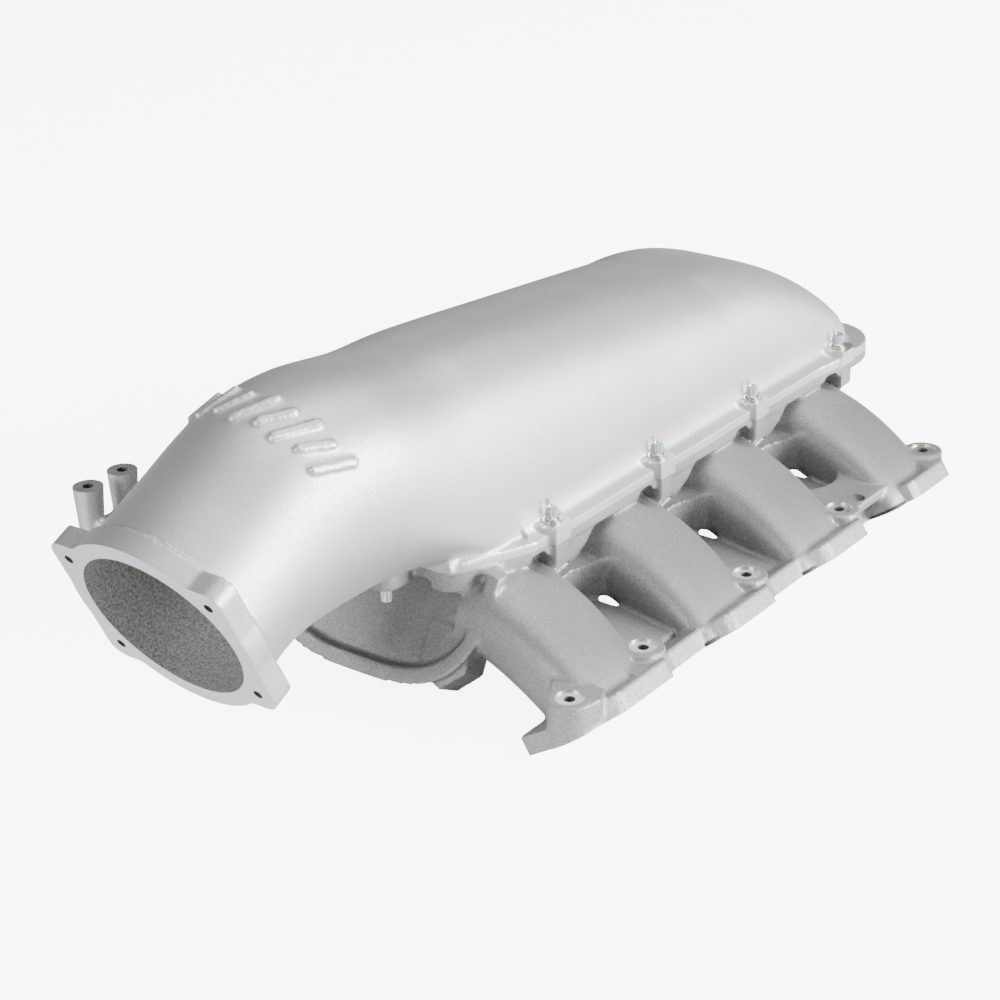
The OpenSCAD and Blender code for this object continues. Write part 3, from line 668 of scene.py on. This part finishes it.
def buildBase():
    shell = newShell()
    addPrism(shell, flangeOutline(), splitZ - base["plate"], splitZ + 2, upright)
    addLoft(shell, bellyRings(bellyRows()))
    bellyRim(shell)
    addDucts(shell, runner["wall"], 0.02, 1.12)

    fairing = [(68, -60), (68, -104), (75.5, -102)] + arc(106, -106, 31, 172, 98, 12) + [(102, -60)]
    for side in (1, -1):        # fillets between the belly and the runners
        for i in (1, 2, 3):
            addLoft(shell, [[(side * x, y + i * pitch, z if z < -50 else z - max(-y - 74, 0) * 0.4)
                             for x, y in fairing] for z in (-61, -33)])

    def column(side, y):
        outline = [(side * (layout["boltX"] + u), y + v) for u, v in base["column"]]
        addPrism(shell, outline, base["foot"], splitZ + 2, upright)
        put = lambda u, v, w: (side * (flange["halfWidth"] - 0.3 - w), y + u, v)
        if y < 330:
            addPrism(shell, lipOutline(), 0, 16, put)
    atCoverBolts(column)
    corner = [(45, flange["front"])] + [(x, y) for x, y in flangeOutline() if y < -60 and x > 49]
    corner += [(76, -38), (45, -38)]
    for side in (1, -1):
        addPrism(shell, [(side * x, y) for x, y in corner], base["lipZ"], splitZ + 1, upright)
    lean = math.radians(base["lean"])

    def foot(side):
        outline = [(42, -64), (60, -72), (75, -58), (75, -34), (42, -34)]
        addPrism(shell, [(side * x, v) for x, v in outline], 2, 22, lambda u, v, w: (
            u, -58 + w * math.cos(lean) - v * math.sin(lean), base["topZ"] + w * math.sin(lean) + v * math.cos(lean)))
    foot(1)
    foot(-1)
    for x, y in layout["endBolts"]:
        addCylinder(shell, x, y, splitZ - 10, splitZ + 2, 9)
        y0, y1 = (y, y + 24) if y < 0 else (y - 24, y)
        addPrism(shell, [(x - 9, y0), (x + 9, y0), (x + 9, y1), (x - 9, y1)], splitZ - 10, splitZ, upright)

    def headSide(side, shift):
        addPrism(shell, headOutline(), -2, heads["thick"], onHead(side, shift))
        for i in range(5):
            y = headBoltY(i) + shift
            addCylinder(shell, side * heads["boltX"], y, headZ(heads["boltX"]) - 6, heads["seat"] + 1, heads["bossR"])
        pads = [(0, [(138, 13.5), (147.5, -4.5), (160.4, -10), (172.5, -1.5), (174.5, 9.6), (169, 20.5), (154, 18.5)],
                 heads["seat"] + 0.6),
                (1, [(151, -27), (173, -25), (175, -8), (170, 1), (151, 1)], heads["seat"] - 2.4),
                (4, [(149, 7.5), (151, -13), (175, -22), (175, -2), (166, 14)], heads["seat"] - 1)]
        for i, outline, top in pads:
            y = headBoltY(i) + shift
            addPrism(shell, [(side * x, y + v) for x, v in outline], -76, top, upright)
        for i, x0, x1, y0, y1 in lowWebs:
            y = headBoltY(i) + shift
            addPrism(shell, [(side * x0, y + y0), (side * x1, y + y0), (side * x1, y + y1), (side * x0, y + y1)],
                     -69.5, -62.5, upright)
        y = headBoltY(3) + shift
        web = [(164, -8), (164, 54)] + arc(105, 40, 26, 34, -100, 24) + [(100, -8)]
        addPrism(shell, [(side * x, y + v) for x, v in web], -59, -52, upright)
    eachSide(headSide)
    piece = castSkin(toPiece("baseCasting", shell, baseSkinToneAndPaintedShade), base["voxel"], base["rounds"], base["triangles"])

    plane = newShell()
    addPrism(plane, [(-100, -110), (100, -110), (100, 420), (-100, 420)], splitZ, splitZ + 30, upright)
    under = []
    spots = newShell()
    holes = newShell()
    pockets = newShell()

    def cutHead(side, shift):
        slab = newShell()
        addPrism(slab, [(-70, -160), (60, -160), (60, 380), (-70, 380)], -40, 0, onHead(side, shift))
        under.append(toPiece("cutHead" + str(side + 1), slab, milled))
        for i in range(5):
            y = headBoltY(i) + shift
            addCylinder(spots, side * heads["boltX"], y, heads["seat"], heads["seat"] + 26, heads["spotR"])
            addCylinder(holes, side * heads["boltX"], y, -110, heads["seat"] + 2, heads["holeR"])
        addCylinder(holes, side * 157, headBoltY(3) + shift + 27, -62, -49, 5.5)
    eachSide(cutHead)

    def cutColumn(side, y):
        addCylinder(holes, side * layout["boltX"], y, base["foot"] + 2, splitZ + 4, 2.5)
        z, r = base["pocketZ"], base["pocketR"]
        slot = arc(y - 16.5, z, r, -90, 90, 10) + arc(y - 22, z, r, 90, 270, 10)
        put = lambda u, v, w: (side * w, u, v)
        addPrism(pockets, slot, 73, 100, put)
    atCoverBolts(cutColumn)
    for x, y in layout["endBolts"]:
        addCylinder(holes, x, y, splitZ - 14, splitZ + 4, 3.3)
    inner = newShell()
    addLoft(inner, bellyRings(bellyInnerRows(), 80, 4))
    ducts = newShell()
    addDucts(ducts, 0, 0, 1.15)
    machine(piece, [toPiece("cutPockets", pockets, baseSkinToneAndPaintedShade), toPiece("cutBelly", inner, insideSkin),
                    toPiece("cutDucts", ducts, insideSkin), toPiece("cutPlane", plane, milled)] + under
            + [toPiece("cutSpots", spots, spotFaced), toPiece("cutHoles", holes, holesWithPaintedShade)])
    shade(piece)
    return piece


# ---------- fasteners ----------

fastener = {"headR": 3.6, "neckR": 3.15, "collarR": 4.5, "collar": 1.6, "head": 6.6, "washerR": 6.1, "washer": 1.3,
            "shankR": 2.4, "shank": 20, "hole": 2.7}


def twelvePoints(z, scale=1.0):        # twelve rounded teeth around the head
    points = []
    for i in range(72):
        a = 2 * math.pi * i / 72
        wave = (1 + math.cos(12 * a)) / 2
        r = (fastener["neckR"] + (fastener["headR"] - fastener["neckR"]) * wave ** 0.7) * scale
        points.append((r * math.cos(a), r * math.sin(a), z))
    return points


def roundRing(r, z, count=72):
    return [(x, y, z) for x, y in circle(0, 0, r, count)]


def boltShape():
    shell = newShell()
    f = fastener
    top = f["collar"] + f["head"]
    rings = [roundRing(f["shankR"], -f["shank"]), roundRing(f["shankR"], 0), roundRing(f["collarR"] - 0.3, 0),
             roundRing(f["collarR"], 0.3), roundRing(f["collarR"], f["collar"] - 0.6),
             roundRing(f["collarR"] - 0.8, f["collar"]), twelvePoints(f["collar"] + 0.15),
             twelvePoints(top - 0.5), twelvePoints(top, 0.86), roundRing(f["neckR"] * 0.62, top),
             roundRing(f["neckR"] * 0.5, top - 0.7)]
    addLoft(shell, rings)
    return shell


def washerShape():
    f = fastener
    shell = newShell()
    profile = [(f["hole"], 0), (f["washerR"] - 0.25, 0), (f["washerR"], 0.25), (f["washerR"], f["washer"] - 0.3),
               (f["washerR"] - 0.3, f["washer"]), (f["hole"] + 0.3, f["washer"]), (f["hole"], f["washer"] - 0.3)]
    n, m = 64, len(profile)
    points = []
    for i in range(n):
        a = 2 * math.pi * i / n
        points += [(r * math.cos(a), r * math.sin(a), z) for r, z in profile]
    faces = [[i * m + j, ((i + 1) % n) * m + j, ((i + 1) % n) * m + (j + 1) % m, i * m + (j + 1) % m]
             for i in range(n) for j in range(m)]
    addFaces(shell, points, faces)
    return shell


def plainPiece(name, shell, material):        # a pattern in metres around its own origin
    mesh = bpy.data.meshes.new(name)
    mesh.from_pydata([(x * mm, y * mm, z * mm) for x, y, z in shell["points"]], [], shell["faces"])
    bm = bmesh.new()
    bm.from_mesh(mesh)
    bmesh.ops.recalc_face_normals(bm, faces=bm.faces)
    bm.to_mesh(mesh)
    bm.free()
    mesh.shade_smooth()
    mesh.set_sharp_from_angle(angle=math.radians(30))
    mesh.materials.append(material)
    piece = bpy.data.objects.new(name, mesh)
    bpy.context.scene.collection.objects.link(piece)
    return piece


def copiesAt(name, pattern, places, upsideDown, material):
    mesh = bpy.data.meshes.new(name)
    mesh.from_pydata([inFrame(p) for p in places], [], [])
    piece = bpy.data.objects.new(name, mesh)
    bpy.context.scene.collection.objects.link(piece)
    tree = bpy.data.node_groups.new(name, "GeometryNodeTree")
    tree.interface.new_socket("Geometry", in_out="INPUT", socket_type="NodeSocketGeometry")
    tree.interface.new_socket("Pattern", in_out="INPUT", socket_type="NodeSocketObject")
    tree.interface.new_socket("Spin", in_out="INPUT", socket_type="NodeSocketFloat")
    tree.interface.new_socket("Geometry", in_out="OUTPUT", socket_type="NodeSocketGeometry")
    nodes, links = tree.nodes, tree.links
    start, end = nodes.new("NodeGroupInput"), nodes.new("NodeGroupOutput")
    info = nodes.new("GeometryNodeObjectInfo")
    toPoints = nodes.new("GeometryNodeMeshToPoints")
    instances = nodes.new("GeometryNodeInstanceOnPoints")
    randomTurn = nodes.new("FunctionNodeRandomValue")
    randomTurn.data_type = "FLOAT"
    randomTurn.inputs["Seed"].default_value = 7
    joined = nodes.new("ShaderNodeCombineXYZ")
    joined.inputs["X"].default_value = math.pi if upsideDown else 0
    realize = nodes.new("GeometryNodeRealizeInstances")
    setMaterial = nodes.new("GeometryNodeSetMaterial")
    setMaterial.inputs["Material"].default_value = material
    links.new(start.outputs["Geometry"], toPoints.inputs["Mesh"])
    links.new(toPoints.outputs["Points"], instances.inputs["Points"])
    links.new(start.outputs["Pattern"], info.inputs["Object"])
    links.new(info.outputs["Geometry"], instances.inputs["Instance"])
    links.new(start.outputs["Spin"], randomTurn.inputs[3])
    links.new(randomTurn.outputs[1], joined.inputs["Z"])
    links.new(joined.outputs["Vector"], instances.inputs["Rotation"])
    links.new(instances.outputs["Instances"], realize.inputs["Geometry"])
    links.new(realize.outputs["Geometry"], setMaterial.inputs["Geometry"])
    links.new(setMaterial.outputs["Geometry"], end.inputs["Geometry"])
    modifier = piece.modifiers.new("copies", "NODES")
    modifier.node_group = tree
    sockets = {item.name: item.identifier for item in tree.interface.items_tree if item.in_out == "INPUT"}
    modifier[sockets["Pattern"]] = pattern
    modifier[sockets["Spin"]] = 2 * math.pi
    bake(piece)
    return piece


def buildFasteners():
    bolt = plainPiece("boltPattern", boltShape(), zinc)
    washer = plainPiece("washerPattern", washerShape(), washerZinc)
    t = fastener["washer"]
    topPlaces = [(side * layout["boltX"], i * pitch, 0) for side in (1, -1) for i in range(4)]
    endPlaces = [(x, y, splitZ - 10) for x, y in layout["endBolts"]]
    made = {
        "coverBolts": copiesAt("coverBolts", bolt, [(x, y, z + t) for x, y, z in topPlaces], False, zinc),
        "coverWashers": copiesAt("coverWashers", washer, topPlaces, False, washerZinc),
        "endBolts": copiesAt("endBolts", bolt, [(x, y, z - t) for x, y, z in endPlaces], True, zinc),
        "endWashers": copiesAt("endWashers", washer, endPlaces, True, washerZinc)}
    bpy.data.objects.remove(bolt)
    bpy.data.objects.remove(washer)
    return made


# ---------- build ----------

print("cover casting")
coverPiece = buildCover()
print("runner base")
basePiece = buildBase()
print("fasteners")
fasteners = buildFasteners()

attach(coverPiece, "root")
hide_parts("plenum_cover")
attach(basePiece, "root")
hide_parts("runner_base")
ends = ("front", "rear")
sides = ("l", "r")
coverNames = [s + str(i) for s in ("r", "l") for i in range(1, 5)]
stands = {"coverBolts": ["cover_bolt_" + n for n in coverNames],
          "coverWashers": ["cover_washer_" + n for n in coverNames],
          "endBolts": [e + "_bolt_" + s for e in ends for s in sides],
          "endWashers": [e + "_washer_" + s for e in ends for s in sides]}
for name, piece in fasteners.items():
    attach(piece, "root")
    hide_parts(*stands[name])
for name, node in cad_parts.items():
    if "seal" in name:
        node.data.materials.clear()
        node.data.materials.append(rubber)

# ---------- floor, light and camera ----------

studio = {"floor": (0.9, 0.9, 0.9), "floorHalf": 6, "glow": 7.0, "world": 0.16, "middle": (0, 0, 0.08),
          "softboxes": [("overhead softbox", (0.3, 0.6, 2.2), (1.8, 1.8), 42),
                        ("right softbox", (2.4, 0.9, 0.85), (1.2, 0.9), 235),
                        ("front softbox", (-0.5, -2.7, 0.9), (1.6, 0.9), 80)]}
view = {"lens": 88.11, "spot": (852.76, -1050.745, 621.966), "right": (0.798129, 0.601896, -0.026673),
        "up": (-0.234906, 0.351649, 0.90618)}


def buildFloor():
    mesh = bpy.data.meshes.new("floor")
    s = studio["floorHalf"]
    mesh.from_pydata([(-s, -s, 0), (s, -s, 0), (s, s, 0), (-s, s, 0)], [], [[0, 1, 2, 3]])
    floor = bpy.data.objects.new("floor", mesh)
    bpy.context.scene.collection.objects.link(floor)
    floor.location.z = -0.0005
    material, tree, shader, _ = newMaterial("pale floor")
    shader.inputs["Base Color"].default_value = studio["floor"] + (1,)
    shader.inputs["Roughness"].default_value = 0.85
    shader.inputs["Specular IOR Level"].default_value = 0.2
    shader.inputs["Emission Color"].default_value = (1, 1, 1, 1)
    path = tree.nodes.new("ShaderNodeLightPath")        # the camera sees a bright sweep, the part doesn't
    glow = tree.nodes.new("ShaderNodeMath")
    glow.operation = "MULTIPLY"
    glow.inputs[1].default_value = studio["glow"]
    tree.links.new(path.outputs["Is Camera Ray"], glow.inputs[0])
    tree.links.new(glow.outputs[0], shader.inputs["Emission Strength"])
    mesh.materials.append(material)


def addArea(name, spot, target, size, power):
    light = bpy.data.lights.new(name, "AREA")
    light.shape = "RECTANGLE"
    light.size, light.size_y = size
    light.energy = power
    lamp = bpy.data.objects.new(name, light)
    lamp.location = spot
    lamp.rotation_euler = (Vector(target) - Vector(spot)).to_track_quat("-Z", "Y").to_euler()
    bpy.context.scene.collection.objects.link(lamp)


def buildStudio():
    world = bpy.data.worlds.new("studio")
    world.use_nodes = True
    back = world.node_tree.nodes["Background"]
    back.inputs["Color"].default_value = (1, 1, 1, 1)
    back.inputs["Strength"].default_value = studio["world"]
    bpy.context.scene.world = world
    for name, spot, size, power in studio["softboxes"]:
        addArea(name, spot, studio["middle"], size, power)


def buildCamera():
    data = bpy.data.cameras.new("camera")
    data.sensor_width = 36
    data.lens = view["lens"]
    camera = bpy.data.objects.new("camera", data)
    camera.location = inFrame(view["spot"])
    right, up = Vector(view["right"]), Vector(view["up"])
    back = right.cross(up)
    turn = [[right[k], up[k], back[k]] for k in range(3)]
    camera.rotation_euler = Matrix(turn).to_euler()
    bpy.context.scene.collection.objects.link(camera)
    bpy.context.scene.camera = camera


print("studio")
buildFloor()
buildStudio()
buildCamera()
